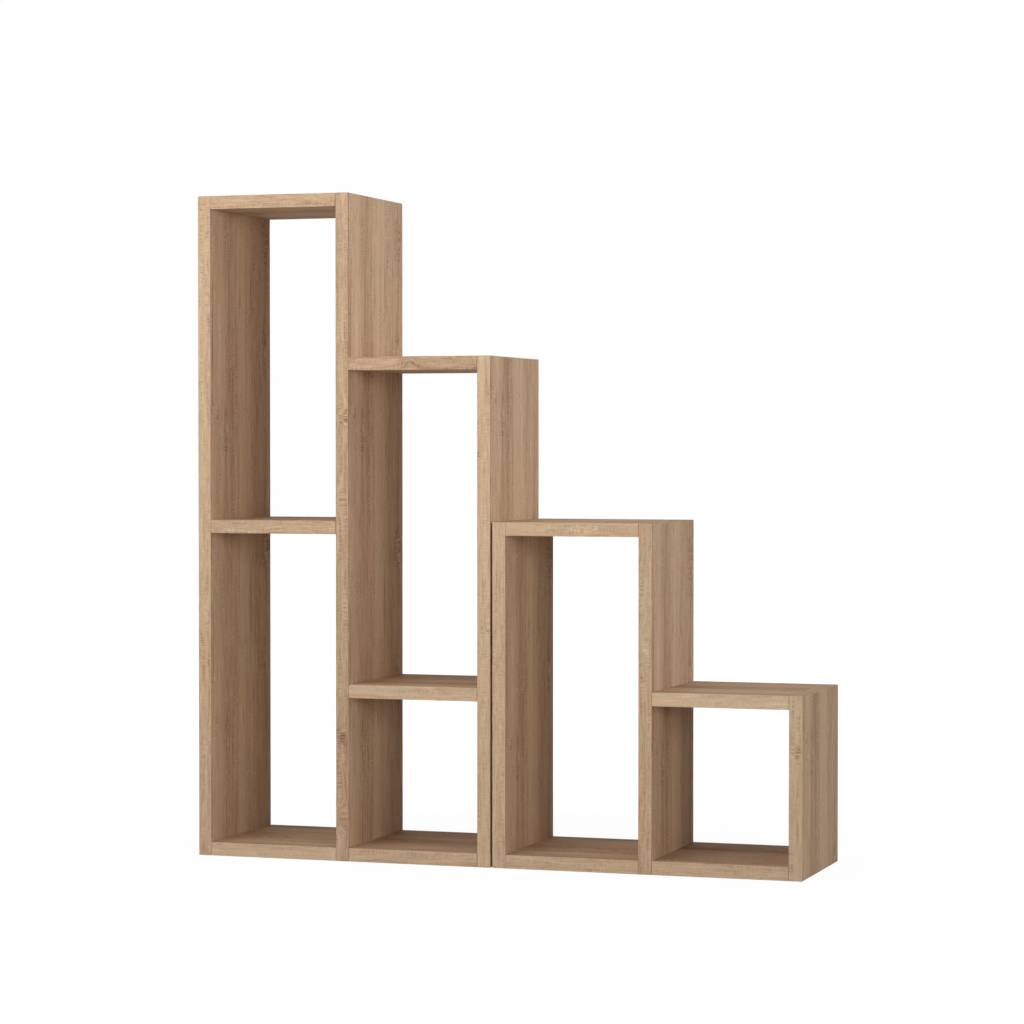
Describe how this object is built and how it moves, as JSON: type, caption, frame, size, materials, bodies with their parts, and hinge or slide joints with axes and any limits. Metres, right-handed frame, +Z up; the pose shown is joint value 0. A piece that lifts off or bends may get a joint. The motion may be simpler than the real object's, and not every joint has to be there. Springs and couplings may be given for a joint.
{
  "type": "stepped plant stand",
  "caption": "Open stepped shelf of wood-effect board in two free-standing modules, with descending tops and through cells for pots and plants.",
  "frame": {"origin": "centre of the footprint of both modules, on the floor", "axes": "+Z up, +X to the right along the front towards the lowest step, -Y to the front, where the viewer stands"},
  "size_m": [0.835, 0.208, 0.89],
  "materials": {
    "oak_facing": "matt oak-effect facing with saw marks, grain along each board",
    "cam_zinc": "die-cast zinc, matt",
    "bolt_steel": "zinc-plated steel"
  },
  "bodies": {
    "root": {"column_1_bottom": "oak_facing", "column_1_bottom_left_bolt": "bolt_steel", "column_1_bottom_left_cam": "cam_zinc", "column_1_bottom_right_cam": "cam_zinc", "column_1_shelf": "oak_facing", "column_1_shelf_left_bolt": "bolt_steel", "column_1_shelf_left_cam": "cam_zinc", "column_1_shelf_right_bolt": "bolt_steel", "column_1_shelf_right_cam": "cam_zinc", "column_1_top": "oak_facing", "column_1_top_left_bolt": "bolt_steel", "column_1_top_left_cam": "cam_zinc", "column_1_top_right_bolt": "bolt_steel", "column_1_top_right_cam": "cam_zinc", "column_2_bottom": "oak_facing", "column_2_bottom_left_cam": "cam_zinc", "column_2_bottom_right_bolt": "bolt_steel", "column_2_bottom_right_cam": "cam_zinc", "column_2_shelf": "oak_facing", "column_2_shelf_left_bolt": "bolt_steel", "column_2_shelf_left_cam": "cam_zinc", "column_2_shelf_right_bolt": "bolt_steel", "column_2_shelf_right_cam": "cam_zinc", "column_2_top": "oak_facing", "column_2_top_left_bolt": "bolt_steel", "column_2_top_left_cam": "cam_zinc", "column_2_top_right_bolt": "bolt_steel", "column_2_top_right_cam": "cam_zinc", "column_3_bottom": "oak_facing", "column_3_bottom_left_bolt": "bolt_steel", "column_3_bottom_left_cam": "cam_zinc", "column_3_bottom_right_cam": "cam_zinc", "column_3_top": "oak_facing", "column_3_top_left_bolt": "bolt_steel", "column_3_top_left_cam": "cam_zinc", "column_3_top_right_bolt": "bolt_steel", "column_3_top_right_cam": "cam_zinc", "column_4_bottom": "oak_facing", "column_4_bottom_left_cam": "cam_zinc", "column_4_bottom_right_bolt": "bolt_steel", "column_4_bottom_right_cam": "cam_zinc", "column_4_top": "oak_facing", "column_4_top_left_bolt": "bolt_steel", "column_4_top_left_cam": "cam_zinc", "column_4_top_right_bolt": "bolt_steel", "column_4_top_right_cam": "cam_zinc", "low_double_bolt": "bolt_steel", "low_left_upright": "oak_facing", "low_middle_upright": "oak_facing", "low_right_upright": "oak_facing", "tall_double_bolt": "bolt_steel", "tall_left_upright": "oak_facing", "tall_middle_upright": "oak_facing", "tall_right_upright": "oak_facing"}
  },
  "joints": []
}
